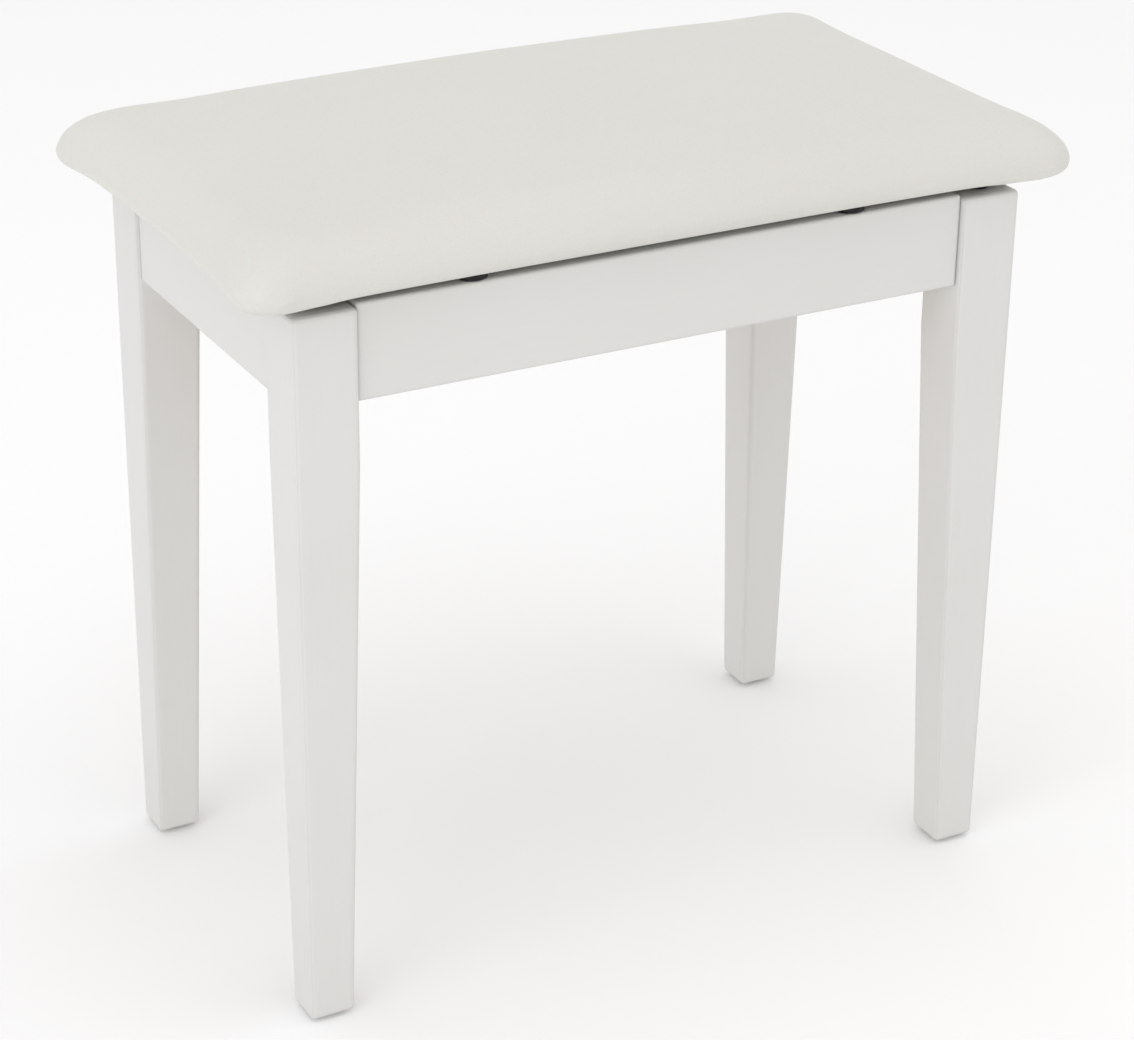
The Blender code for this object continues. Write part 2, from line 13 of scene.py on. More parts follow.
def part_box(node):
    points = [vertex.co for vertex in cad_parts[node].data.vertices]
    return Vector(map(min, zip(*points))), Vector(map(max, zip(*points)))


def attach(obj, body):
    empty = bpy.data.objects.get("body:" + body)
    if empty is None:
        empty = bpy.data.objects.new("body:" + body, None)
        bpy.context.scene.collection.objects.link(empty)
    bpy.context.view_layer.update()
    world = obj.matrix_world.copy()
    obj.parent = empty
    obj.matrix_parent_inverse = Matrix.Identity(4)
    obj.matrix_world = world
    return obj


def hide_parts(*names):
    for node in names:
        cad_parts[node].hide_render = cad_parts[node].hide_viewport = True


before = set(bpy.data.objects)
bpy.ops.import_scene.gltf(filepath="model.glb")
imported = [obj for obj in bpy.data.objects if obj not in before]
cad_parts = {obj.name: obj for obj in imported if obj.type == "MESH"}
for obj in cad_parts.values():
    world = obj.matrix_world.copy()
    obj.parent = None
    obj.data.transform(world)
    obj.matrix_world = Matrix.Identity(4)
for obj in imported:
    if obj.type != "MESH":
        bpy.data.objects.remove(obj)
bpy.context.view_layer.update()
bpy.context.scene.view_settings.view_transform = "Standard"


# ---------- legs and aprons ----------
# Beech legs and rails, sprayed with satin white lacquer over primer.  The rails
# butt against the legs, so each joint shows as a fine shadow line.

CORNERS = {                   # each corner's side along X and Y
    "front_left": (-1, -1), "front_right": (1, -1), "rear_left": (-1, 1), "rear_right": (1, 1)}
LACQUER_LIGHT = "#DBDAD8"
LACQUER_DEEP = "#D6D5D2"
LACQUER_WORN = "#CFCBC3"
GRAIN_PITCH = 0.0014          # pores that still show through the lacquer
GRAIN_STRETCH = 22.0          # a pore's length over its width
PEEL_SIZE = 0.0022            # the sprayed coat's orange peel
EDGE_RADIUS = 0.0016          # how far the lacquer's light rolls round an arris


def linear(colour):
    """An sRGB hex colour as linear RGBA, by the sRGB transfer curve."""
    c = np.array([int(colour[i:i + 2], 16) for i in (1, 3, 5)]) / 255
    rgb = np.where(c <= 0.04045, c / 12.92, ((c + 0.055) / 1.055) ** 2.4)
    return (*(float(v) for v in rgb), 1.0)


def new_material(name):
    """An empty node material: its tree and a Principled shader joined to the output."""
    material = bpy.data.materials.new(name)
    material.use_nodes = True
    tree = material.node_tree
    tree.nodes.clear()
    shader = tree.nodes.new("ShaderNodeBsdfPrincipled")
    output = tree.nodes.new("ShaderNodeOutputMaterial")
    tree.links.new(shader.outputs["BSDF"], output.inputs["Surface"])
    return material, tree, shader


def join(tree, target, inputs):
    """Set a node's inputs by name or number: a socket is linked, anything else is a value."""
    for key, value in inputs.items():
        socket = target.inputs[key]
        if isinstance(value, bpy.types.NodeSocket):
            tree.links.new(value, socket)
        else:
            socket.default_value = value


def add_node(tree, kind, inputs=None, output=0, **settings):
    """Add one node with its settings and inputs, and return the output that is used next."""
    item = tree.nodes.new("ShaderNode" + kind)
    for key, value in settings.items():
        setattr(item, key, value)
    join(tree, item, inputs or {})
    return item.outputs[output]


def use_material(material, *names):
    """Give CAD nodes a material in their own slots."""
    for name in names:
        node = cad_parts[name]
        node.data.materials.clear()
        node.data.materials.append(material)


def white_lacquer(name, grain):
    """Satin nitrocellulose lacquer on beech: the coat levels out, but the pores along the
    grain and a fine orange peel still catch the light, and arrises wear warmer."""
    material, tree, shader = new_material(name)
    place = add_node(tree, "TexCoord", output="Object")
    stretch = [1 / GRAIN_PITCH] * 3
    stretch[grain] /= GRAIN_STRETCH
    along = add_node(tree, "Mapping", {"Vector": place, "Scale": stretch})
    pores = add_node(tree, "TexNoise", {
        "Vector": along, "Scale": 1.0, "Detail": 4.0, "Roughness": 0.62})
    cloud = add_node(tree, "TexNoise", {"Vector": place, "Scale": 9.0, "Detail": 2.0})
    peel = add_node(tree, "TexNoise", {"Vector": place, "Scale": 1 / PEEL_SIZE, "Detail": 2.0})
    rounded = add_node(tree, "Bevel", {"Radius": EDGE_RADIUS}, samples=4)
    sharp = add_node(tree, "NewGeometry", output="Normal")
    same = add_node(
        tree, "VectorMath", {0: rounded, 1: sharp}, output="Value", operation="DOT_PRODUCT")
    edge = add_node(tree, "MapRange", {"Value": same, "From Min": 0.985, "From Max": 0.86})
    tone = add_node(tree, "MixRGB", {
        "Fac": cloud, "Color1": linear(LACQUER_LIGHT), "Color2": linear(LACQUER_DEEP)})
    shade = add_node(tree, "MapRange", {"Value": pores, "To Min": 0.975, "To Max": 1.015})
    grained = add_node(tree, "VectorMath", {0: tone, "Scale": shade}, operation="SCALE")
    worn = add_node(tree, "Math", {0: edge, 1: cloud}, operation="MULTIPLY")
    colour = add_node(tree, "MixRGB", {
        "Fac": worn, "Color1": grained, "Color2": linear(LACQUER_WORN)})
    gloss = add_node(tree, "MapRange", {"Value": pores, "To Min": 0.36, "To Max": 0.50})
    fine = add_node(tree, "Bump", {
        "Height": pores, "Normal": rounded, "Strength": 0.35, "Distance": 0.00006})
    coat = add_node(tree, "Bump", {
        "Height": peel, "Normal": fine, "Strength": 0.30, "Distance": 0.00005})
    join(tree, shader, {
        "Base Color": colour, "Roughness": gloss, "Normal": coat, "IOR": 1.48,
        "Coat Weight": 0.15, "Coat Roughness": 0.25})
    return material


upright_lacquer = white_lacquer("white_lacquer_upright_grain", 2)
long_lacquer = white_lacquer("white_lacquer_long_grain", 0)
cross_lacquer = white_lacquer("white_lacquer_cross_grain", 1)
use_material(upright_lacquer, *(f"leg_{corner}" for corner in CORNERS))
use_material(long_lacquer, "apron_front", "apron_rear")
use_material(cross_lacquer, "apron_left", "apron_right")


# ---------- foot glides ----------
# Off-white nylon discs, moulded round a nail and driven into the feet.  They
# stand the bench 2 mm off the floor.

NYLON = "#D8D6CE"
NYLON_SCUFFED = "#C9C6BC"
TURNED_STEPS = 64
GLIDE_DISC = 0.002            # thickness of the disc under the foot
GLIDE_NAIL = 0.0012           # radius of its nail


def ring_quads(rows, columns):
    """The quads between neighbouring rings of a grid whose rings close on themselves."""
    index = np.arange(rows * columns).reshape(rows, columns)
    ahead = np.roll(index, -1, axis=1)
    return np.stack([index[:-1], ahead[:-1], ahead[1:], index[1:]], axis=-1).reshape(-1, 4)


def surface_mesh(name, grid):
    """Quads over a grid of points [ring, step]; the first and last rings may be single poles."""
    quads = ring_quads(*grid.shape[:2])
    mesh = bpy.data.meshes.new(name)
    mesh.from_pydata(grid.reshape(-1, 3), [], quads)
    return mesh


def tidy_mesh(mesh, sharp=40.0):
    """Merge the points of each pole, point the faces outwards and shade smooth up to `sharp`
    degrees."""
    work = bmesh.new()
    work.from_mesh(mesh)
    bmesh.ops.remove_doubles(work, verts=work.verts, dist=1e-6)
    bmesh.ops.recalc_face_normals(work, faces=work.faces)
    work.to_mesh(mesh)
    work.free()
    mesh.shade_smooth()
    mesh.set_sharp_from_angle(angle=math.radians(sharp))
    return mesh


def add_piece(name, mesh, material, body, replaced=()):
    """Show a mesh as a piece that rides on a body and stands for CAD nodes."""
    piece = bpy.data.objects.new(name, mesh)
    bpy.context.collection.objects.link(piece)
    mesh.materials.clear()
    mesh.materials.append(material)
    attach(piece, body)
    if replaced:
        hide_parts(*replaced)
    return piece


def turned_grid(profile, steps=TURNED_STEPS):
    """A profile of (radius, height) carried round local Z: x = r cos t, y = r sin t."""
    radius, height = np.array(profile).T
    turn = np.linspace(0, 2 * np.pi, steps, endpoint=False)
    x = radius[:, None] * np.cos(turn)
    y = radius[:, None] * np.sin(turn)
    return np.stack([x, y, np.repeat(height[:, None], steps, axis=1)], axis=-1)


def moulded_nylon():
    """Injection-moulded nylon 6: milky, with a fine spark-eroded texture and scuffs."""
    material, tree, shader = new_material("nylon_moulded")
    place = add_node(tree, "TexCoord", output="Object")
    scuffs = add_node(tree, "TexNoise", {"Vector": place, "Scale": 700.0, "Detail": 5.0})
    texture = add_node(tree, "TexNoise", {"Vector": place, "Scale": 3500.0})
    tone = add_node(tree, "MixRGB", {
        "Fac": scuffs, "Color1": linear(NYLON), "Color2": linear(NYLON_SCUFFED)})
    gloss = add_node(tree, "MapRange", {"Value": scuffs, "To Min": 0.35, "To Max": 0.65})
    bump = add_node(tree, "Bump", {"Height": texture, "Strength": 0.3, "Distance": 0.00003})
    join(tree, shader, {
        "Base Color": tone, "Roughness": gloss, "Normal": bump, "IOR": 1.53,
        "Subsurface Weight": 0.1, "Subsurface Scale": 0.001})
    return material


nylon = moulded_nylon()
for corner in CORNERS:
    low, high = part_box(f"foot_glide_{corner}")
    radius = (high.x - low.x) / 2
    profile = [
        (0, 0), (radius - 0.0010, 0), (radius - 0.0005, 0.00015), (radius - 0.00015, 0.0005),
        (radius, 0.0010), (radius, GLIDE_DISC - 0.0002), (radius - 0.0002, GLIDE_DISC),
        (GLIDE_NAIL, GLIDE_DISC), (GLIDE_NAIL, high.z - 0.002), (0, high.z),
    ]
    grid = turned_grid(profile) + np.array([(low.x + high.x) / 2, (low.y + high.y) / 2, low.z])
    mesh = tidy_mesh(surface_mesh(f"glide_{corner}", grid))
    add_piece(f"glide_{corner}", mesh, nylon, "frame", [f"foot_glide_{corner}"])


# ---------- corner brackets and fastenings ----------
# Bright zinc-plated steel: pressed brackets, hanger bolts, flange nuts and pan-head
# screws.  They draw each leg into its corner and are seen when the lid is open.

ZINC = "#C4C7CB"
ZINC_YELLOWED = "#BDBBAF"
HEAD_HEIGHT = 0.0016
SHANK_RADIUS = 0.0017
SCREW_POINT = 0.002           # length of the tapered point
RECESS_DEPTH = 0.6            # the cross recess, as a share of the head's height
RECESS_SLOT = 0.16            # half its arm's width and its reach, as shares of the
RECESS_REACH = 0.62           # head's radius


def zinc_plate():
    """Electroplated zinc with a clear passivate: fine spangle, a faint straw tint, soft scuffs."""
    material, tree, shader = new_material("zinc_plated_steel")
    place = add_node(tree, "TexCoord", output="Object")
    spangle = add_node(tree, "TexVoronoi", {"Vector": place, "Scale": 900.0}, output="Distance")
    stain = add_node(tree, "TexNoise", {"Vector": place, "Scale": 90.0, "Detail": 4.0})
    scratch_place = add_node(tree, "Mapping", {
        "Vector": place, "Scale": (2600.0, 120.0, 300.0)})
    scratches = add_node(tree, "TexNoise", {"Vector": scratch_place, "Scale": 1.0, "Detail": 2.0})
    tone = add_node(tree, "MixRGB", {
        "Fac": stain, "Color1": linear(ZINC), "Color2": linear(ZINC_YELLOWED)})
    gloss = add_node(tree, "MapRange", {"Value": spangle, "To Min": 0.26, "To Max": 0.46})
    bump = add_node(tree, "Bump", {"Height": scratches, "Strength": 0.4, "Distance": 0.00001})
    join(tree, shader, {
        "Base Color": tone, "Metallic": 1.0, "Roughness": gloss, "Normal": bump})
    return material


zinc = zinc_plate()
for corner in CORNERS:
    use_material(zinc, f"corner_bracket_{corner}", f"hanger_bolt_{corner}", f"flange_nut_{corner}")
hinge_names = [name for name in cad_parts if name.startswith("hinge_")]
use_material(zinc, *hinge_names)


def pan_head_grid(head_radius, length):
    """A screw about local Z, its head's top at +Z and its point `length` below the seat.  The
    head is a low dome, cut by a cross recess: RECESS_DEPTH deep where |x| or |y| is within
    the slot and r within its reach."""
    rise = np.linspace(0, 1, 15)
    dome_r = head_radius * np.sin(rise * np.pi / 2)
    dome_z = HEAD_HEIGHT * (0.35 + 0.65 * np.cos(rise * np.pi / 2) ** 0.8)
    profile = [*zip(dome_r, dome_z), (head_radius, 0), (SHANK_RADIUS, 0)]
    profile += [
        (SHANK_RADIUS, SCREW_POINT - length), (SHANK_RADIUS * 0.25, -length), (0, -length)]
    grid = turned_grid(profile, 72)
    x, y = grid[..., 0], grid[..., 1]
    slot, reach = RECESS_SLOT * head_radius, RECESS_REACH * head_radius
    near = np.minimum(np.abs(x), np.abs(y))
    across = np.clip((slot - near) / (0.35 * slot), 0, 1)
    inside = np.clip((reach - np.hypot(x, y)) / (0.15 * reach), 0, 1)
    head = grid[..., 2] > 0.2 * HEAD_HEIGHT
    grid[..., 2] -= head * across * inside * RECESS_DEPTH * HEAD_HEIGHT
    return grid


def place_grid(grid, origin, direction):
    """Turn a grid so that its +Z points along `direction`, and move it to `origin`."""
    turn = Vector((0, 0, 1)).rotation_difference(Vector(direction)).to_matrix()
    return grid @ np.array(turn).T + np.array(origin)


for corner, (sx, sy) in CORNERS.items():
    for number, axis in ((1, 1), (2, 0)):
        cad_name = f"bracket_screw_{corner}_{number}"
        low, high = (np.array(point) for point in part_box(cad_name))
        outward = np.zeros(3)
        outward[axis] = -(sy if axis else sx)
        length = (high - low)[axis]
        seat = (low + high) / 2 + outward * (length / 2 - HEAD_HEIGHT)
        grid = pan_head_grid((high - low)[2] / 2, length - HEAD_HEIGHT)
        mesh = tidy_mesh(surface_mesh(cad_name + "_pan_head", place_grid(grid, seat, outward)))
        piece_name = f"pan_head_screw_{corner}_{number}"
        add_piece(piece_name, mesh, zinc, "frame", [cad_name])


# ---------- compartment floor ----------
# Thin hardboard, faced white on its upper side, slid into the grooves of the
# rails before the legs are bolted on.

BOARD_FACE = "#DCDAD4"
BOARD_FACE_WORN = "#D3D0C8"
BOARD_BACK = "#8C6B49"
BOARD_FIBRE = "#A5845E"


def faced_hardboard():
    """Hardboard: a printed white face above, bare pressed fibre below and at its edges."""
    material, tree, shader = new_material("white_faced_hardboard")
    place = add_node(tree, "TexCoord", output="Object")
    fibre = add_node(tree, "TexNoise", {
        "Vector": place, "Scale": 420.0, "Detail": 6.0, "Roughness": 0.7})
    normal = add_node(tree, "NewGeometry", output="Normal")
    up = add_node(tree, "SeparateXYZ", {"Vector": normal}, output="Z")
    face = add_node(tree, "MapRange", {"Value": up, "From Min": 0.4, "From Max": 0.6})
    bare = add_node(tree, "MixRGB", {
        "Fac": fibre, "Color1": linear(BOARD_BACK), "Color2": linear(BOARD_FIBRE)})
    white = add_node(tree, "MixRGB", {
        "Fac": fibre, "Color1": linear(BOARD_FACE), "Color2": linear(BOARD_FACE_WORN)})
    tone = add_node(tree, "MixRGB", {"Fac": face, "Color1": bare, "Color2": white})
    gloss = add_node(tree, "MapRange", {"Value": fibre, "To Min": 0.5, "To Max": 0.75})
    bump = add_node(tree, "Bump", {"Height": fibre, "Strength": 0.4, "Distance": 0.00006})
    join(tree, shader, {"Base Color": tone, "Roughness": gloss, "Normal": bump})
    return material


use_material(faced_hardboard(), "compartment_floor")


# ---------- bumpers ----------
# Moulded black rubber pads, nailed to the legs and the front rail.  The lid comes
# down on them and stays clear of the lacquer.

RUBBER = "#0C0B0B"
RUBBER_DUSTY = "#191817"
RIM_ROUND = 0.0016            # the bumper's rounded upper rim
DIMPLE_RADIUS = 0.0032        # the dimple over its nail


def black_rubber():
    """Moulded natural rubber: near black, satin skin with a dusty bloom."""
    material, tree, shader = new_material("black_moulded_rubber")
    place = add_node(tree, "TexCoord", output="Object")
    bloom = add_node(tree, "TexNoise", {"Vector": place, "Scale": 260.0, "Detail": 4.0})
    skin = add_node(tree, "TexNoise", {"Vector": place, "Scale": 2400.0, "Detail": 2.0})
    tone = add_node(tree, "MixRGB", {
        "Fac": bloom, "Color1": linear(RUBBER), "Color2": linear(RUBBER_DUSTY)})
    gloss = add_node(tree, "MapRange", {"Value": bloom, "To Min": 0.30, "To Max": 0.55})
    bump = add_node(tree, "Bump", {"Height": skin, "Strength": 0.3, "Distance": 0.00004})
    join(tree, shader, {"Base Color": tone, "Roughness": gloss, "Normal": bump, "IOR": 1.35})
    return material


rubber = black_rubber()
for name in [*CORNERS, "apron_left", "apron_right"]:
    low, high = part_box(f"bumper_{name}")
    radius, height = (high.x - low.x) / 2, high.z - low.z
    bend = np.linspace(0, np.pi / 2, 9)
    rim_r = radius - RIM_ROUND + RIM_ROUND * np.cos(bend)
    rim_z = height - RIM_ROUND + RIM_ROUND * np.sin(bend)
    profile = [
        (0, 0), (radius - 0.0004, 0), (radius, 0.0004), *zip(rim_r, rim_z),
        (DIMPLE_RADIUS, height), (DIMPLE_RADIUS - 0.0004, height - 0.0008), (0, height - 0.0010),
    ]
    grid = turned_grid(profile) + np.array([(low.x + high.x) / 2, (low.y + high.y) / 2, low.z])
    mesh = tidy_mesh(surface_mesh(f"rubber_{name}", grid))
    add_piece(f"rubber_pad_{name}", mesh, rubber, "frame", [f"bumper_{name}"])


# ---------- seat board ----------
# Nine-ply birch under the pad.  Its edge shows the plies as thin light and dark
# lines, and its faces the peeled veneer's long grain.

BIRCH = "#CDAE84"
BIRCH_DARK = "#B08D60"
PLY = 0.0013                  # thickness of one ply


def birch_plywood():
    """Peeled birch: broad wavy grain on the faces, plies stacked along Z on the edges."""
    material, tree, shader = new_material("birch_plywood")
    place = add_node(tree, "TexCoord", output="Object")
    along = add_node(tree, "Mapping", {"Vector": place, "Scale": (12.0, 160.0, 2.0)})
    figure = add_node(tree, "TexNoise", {
        "Vector": along, "Scale": 1.0, "Detail": 6.0, "Distortion": 0.6})
    height = add_node(tree, "SeparateXYZ", {"Vector": place}, output="Z")
    plies = add_node(tree, "Math", {0: height, 1: math.pi / PLY}, operation="MULTIPLY")
    stripe = add_node(tree, "Math", {0: plies}, operation="SINE")
    normal = add_node(tree, "NewGeometry", output="Normal")
    up = add_node(tree, "SeparateXYZ", {"Vector": normal}, output="Z")
    flat = add_node(tree, "Math", {0: up}, operation="ABSOLUTE")
    shade = add_node(tree, "MixRGB", {"Fac": flat, "Color1": stripe, "Color2": figure})
    tone = add_node(tree, "MixRGB", {
        "Fac": shade, "Color1": linear(BIRCH_DARK), "Color2": linear(BIRCH)})
    bump = add_node(tree, "Bump", {"Height": figure, "Strength": 0.3, "Distance": 0.0001})
    join(tree, shader, {"Base Color": tone, "Roughness": 0.6, "Normal": bump})
    return material


use_material(birch_plywood(), "seat_board")


# ---------- pad and cover ----------
# Polyurethane foam under cream leatherette, drawn down over the shoulder, tucked
# in below its widest line and turned under the board, with small pleats round
# each corner.  No seams and no piping.

board_low, board_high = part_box("seat_board")
PAD_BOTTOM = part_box("seat_cover")[0].z
PAD_HALF = np.array([0.2657, 0.1518])   # corners' reach before the sides draw in
PAD_CORNER = 0.0265                     # radius of the corners in plan
PAD_PULL = np.array([0.0085, 0.0057])   # how far the short and the long sides draw in
BOARD_PULL = 0.0054                     # the same for the board and the dust cover
PAD_EASE = 14                           # passes of the running mean that eases the plan
OUTLINE_POINTS = 720
PAD_TUCK = 0.0160             # how far the lower edge lies inside the widest line
PAD_WIDEST = 0.0132           # height of the widest line above the lower edge
PAD_ROLL = 0.0307             # width of the shoulder
PAD_ROLL_HEIGHT = 0.0211      # its height above the widest line
PAD_CROWN = 0.0142            # how much the middle stands above the shoulder
CORNER_REACH = 0.030          # how far from a corner's tip its fuller shape fades out
CORNER_TUCK = 0.42            # share by which the tuck shrinks at the tip
CORNER_DROP = 0.35            # share by which the widest line comes down there
SWELL_ROOM = 0.0008           # how much smaller the form starts, for the pressure to fill
SWELL_CAP = 0.0010            # the furthest that the pressure may move a point
SWELL_STEPS = 20              # frames of simulation
VOXEL = 0.0048                # mesh size before it is refined
PLEATS = 7                    # folds round each corner
PLEAT_DEPTH = 0.0007
BOARD_LIP_STEP = 0.001        # how far the opening's cutter goes up into the pocket
POCKET_ROOM = 0.0005          # clearance round the board
LIP = 0.020                   # leatherette turned in under the board
LEATHER = "#DAD9D3"
LEATHER_DEEP = "#D6D4CE"
PEBBLE = 0.0011               # size of the embossed grain


def pad_outline(stride=2, pull=PAD_PULL, power=3.0):
    """Plan of the pad's widest line, from even points: a rectangle with round corners,
    each side drawn in by pull * (1 - |s|^power), s from -1 to 1 along it, then eased by a
    running mean.  Every `stride`-th point is kept."""
    quarter = np.arange(4)[:, None] * np.pi / 2
    turn = quarter + np.linspace(0, np.pi / 2, 25)
    diagonal = np.stack([np.cos(quarter + np.pi / 4), np.sin(quarter + np.pi / 4)], axis=-1)
    centre = np.sign(diagonal) * (PAD_HALF - PAD_CORNER)
    arcs = centre + PAD_CORNER * np.stack([np.cos(turn), np.sin(turn)], axis=-1)
    path = arcs.reshape(-1, 2)
    path = np.concatenate([path, path[:1]])
    length = np.concatenate([[0], np.cumsum(np.linalg.norm(np.diff(path, axis=0), axis=1))])
    want = np.linspace(0, length[-1], OUTLINE_POINTS, endpoint=False)
    even = np.stack([np.interp(want, length, along) for along in path.T], axis=1)
    unit = even / PAD_HALF
    fade = 1 - np.abs(unit[:, ::-1]) ** power
    outline = even - np.sign(even) * pull * fade * np.abs(unit) ** 8
    for _ in range(PAD_EASE):
        outline = (np.roll(outline, 1, axis=0) + 2 * outline + np.roll(outline, -1, axis=0)) / 4
    return outline[::stride]


def board_outline(half):
    """Plan of the board and the dust cover, whose sides draw in less than the pad's, scaled
    to reach `half` along each axis."""
    outline = pad_outline(3, BOARD_PULL, 2.0)
    return outline / np.abs(outline).max(axis=0) * half


def pad_form(shrink):
    """The closed pad as a profile carried round the outline, `shrink` inside its full size.
    From below: flat bottom, side bulging out as 1 - sin, shoulder as a power of sin over
    1 - cos, and a crown of (1 - x^2)(1 - y^2).  Towards a corner's tip, by a bell curve of
    the distance to it, the side tucks in less and the shoulder is fuller and starts lower."""
    outline = pad_outline()
    tip = PAD_HALF - 0.29 * PAD_CORNER
    near = np.exp(-(((np.abs(outline) - tip) / CORNER_REACH) ** 2).sum(axis=1))
    widest = PAD_WIDEST * (1 - CORNER_DROP * near)
    rise = np.linspace(0, 1, 9)[:, None]
    turn = np.linspace(0, np.pi / 2, 15)[1:, None]
    wall_inset = PAD_TUCK * (1 - CORNER_TUCK * near) * (1 - np.sin(rise * np.pi / 2))
    shoulder_inset = PAD_ROLL * (1 - np.cos(turn)) * np.ones_like(near)
    shoulder = PAD_WIDEST + PAD_ROLL_HEIGHT - widest
    inset = np.concatenate([wall_inset, shoulder_inset]) + shrink
    curve = np.sin(turn) ** (1.6 - 0.6 * near)
    height = np.concatenate([widest * rise, widest + shoulder * curve])
    sides = outline * (1 - inset[..., None] / PAD_HALF)
    top = sides[-1] * np.linspace(1, 0, 24)[1:, None, None]
    bottom = sides[0] * np.linspace(0, 1, 16)[:-1, None, None]
    plan = np.concatenate([bottom, sides, top])
    level = np.concatenate([
        np.zeros(bottom.shape[:2]), height, np.tile(height[-1], (len(top), 1))])
    unit = plan / PAD_HALF
    crown = PAD_CROWN * (1 - unit[..., 0] ** 2) * (1 - unit[..., 1] ** 2)
    above = np.clip((level - widest) / (0.3 * PAD_ROLL_HEIGHT), 0, 1)
    z = PAD_BOTTOM + level + (crown - shrink) * above
    return np.concatenate([plan, z[..., None]], axis=-1)


def apply_modifiers(piece):
    """Replace a piece's mesh by what its modifiers make of it."""
    graph = bpy.context.evaluated_depsgraph_get()
    graph.update()
    mesh = bpy.data.meshes.new_from_object(piece.evaluated_get(graph))
    piece.modifiers.clear()
    piece.data = mesh
    return mesh


def mesh_points(mesh):
    """A mesh's points as an array of rows x, y, z."""
    points = np.empty(len(mesh.vertices) * 3)
    mesh.vertices.foreach_get("co", points)
    return points.reshape(-1, 3)


def swell(pad):
    """Blow the pad up like a stuffed cover: Cloth with inner pressure and no gravity, held
    where it meets the board, each point's move capped at SWELL_CAP."""
    start = mesh_points(pad.data)
    held = pad.vertex_groups.new(name="held")
    tucked = np.flatnonzero(start[:, 2] < PAD_BOTTOM + 0.35 * PAD_WIDEST)
    held.add(tucked.tolist(), 1.0, "REPLACE")
    cloth = pad.modifiers.new("cloth", "CLOTH")
    settings = cloth.settings
    settings.quality = 6
    settings.mass = 0.25
    settings.tension_stiffness = 20
    settings.compression_stiffness = 20
    settings.shear_stiffness = 10
    settings.bending_stiffness = 2.0
    settings.use_pressure = True
    settings.uniform_pressure_force = 4.0
    settings.vertex_group_mass = "held"
    settings.effector_weights.gravity = 0.0
    cloth.point_cache.frame_start = 1
    cloth.point_cache.frame_end = SWELL_STEPS
    for step in range(1, SWELL_STEPS + 1):
        bpy.context.scene.frame_set(step)
    graph = bpy.context.evaluated_depsgraph_get()
    moved = mesh_points(pad.evaluated_get(graph).data)
    pad.modifiers.clear()
    pad.vertex_groups.clear()
    bpy.context.scene.frame_set(1)
    move = moved - start
    size = np.linalg.norm(move, axis=1, keepdims=True)
    capped = SWELL_CAP * np.tanh(size / SWELL_CAP)
    ended = start + move * capped / np.maximum(size, 1e-9)
    pad.data.vertices.foreach_set("co", ended.ravel())
    pad.data.update()


def draw_to_size(mesh):
    """Scale the swollen pad about its seat on the board to its full length, depth and height."""
    points = mesh_points(mesh)
    points[:, 2] -= points[:, 2].min()
    tall = PAD_WIDEST + PAD_ROLL_HEIGHT + PAD_CROWN
    full = np.array([*np.abs(pad_outline()).max(axis=0), tall])
    points *= full / np.array([*np.abs(points[:, :2]).max(axis=0), points[:, 2].max()])
    points[:, 2] += PAD_BOTTOM
    mesh.vertices.foreach_set("co", points.ravel())
    mesh.update()


def add_pleats(mesh):
    """Small folds where the cover gathers round a corner: depth = cos of the turn about the
    corner's centre, strongest at the lower edge and gone at the widest line."""
    points = mesh_points(mesh)
    centre = np.sign(points[:, :2]) * (PAD_HALF - PAD_CORNER)
    spoke = points[:, :2] - centre
    turn = np.arctan2(np.abs(spoke[:, 1]), np.abs(spoke[:, 0]))
    outside = np.clip(np.minimum(*(spoke * np.sign(points[:, :2])).T) / 0.004 + 1, 0, 1)
    band = np.clip(1 - (points[:, 2] - PAD_BOTTOM) / (0.85 * PAD_WIDEST), 0, 1) ** 1.5
    band *= points[:, 2] > PAD_BOTTOM + 0.0002
    wave = 0.5 + 0.5 * np.cos(turn * 4 * PLEATS)
    depth = PLEAT_DEPTH * band * outside * wave ** 0.7
    length = np.maximum(np.linalg.norm(spoke, axis=1, keepdims=True), 1e-6)
    points[:, :2] -= spoke / length * depth[:, None]
    mesh.vertices.foreach_set("co", points.ravel())
    mesh.update()


def cut_board_pocket(pad):
    """Hollow the pad's underside for the board, leaving a thin lip turned under its edge."""
    half = np.array([board_high.x, board_high.y]) + POCKET_ROOM
    cutters = []
    for size, low, high in (
        (half - LIP, PAD_BOTTOM - 0.01, board_low.z + BOARD_LIP_STEP),
        (half, board_low.z - POCKET_ROOM, board_high.z + POCKET_ROOM),
    ):
        outline = board_outline(size)
        levels = np.array([low, low, high, high])
        plan = outline * np.array([0, 1, 1, 0])[:, None, None]
        z = np.repeat(levels[:, None, None], len(outline), axis=1)
        mesh = tidy_mesh(surface_mesh("pocket", np.concatenate([plan, z], axis=-1)))
        cutter = bpy.data.objects.new("pocket", mesh)
        bpy.context.collection.objects.link(cutter)
        cut = pad.modifiers.new("pocket", "BOOLEAN")
        cut.operation = "DIFFERENCE"
        cut.object = cutter
        cutters.append(cutter)
    apply_modifiers(pad)
    for cutter in cutters:
        bpy.data.objects.remove(cutter, do_unlink=True)


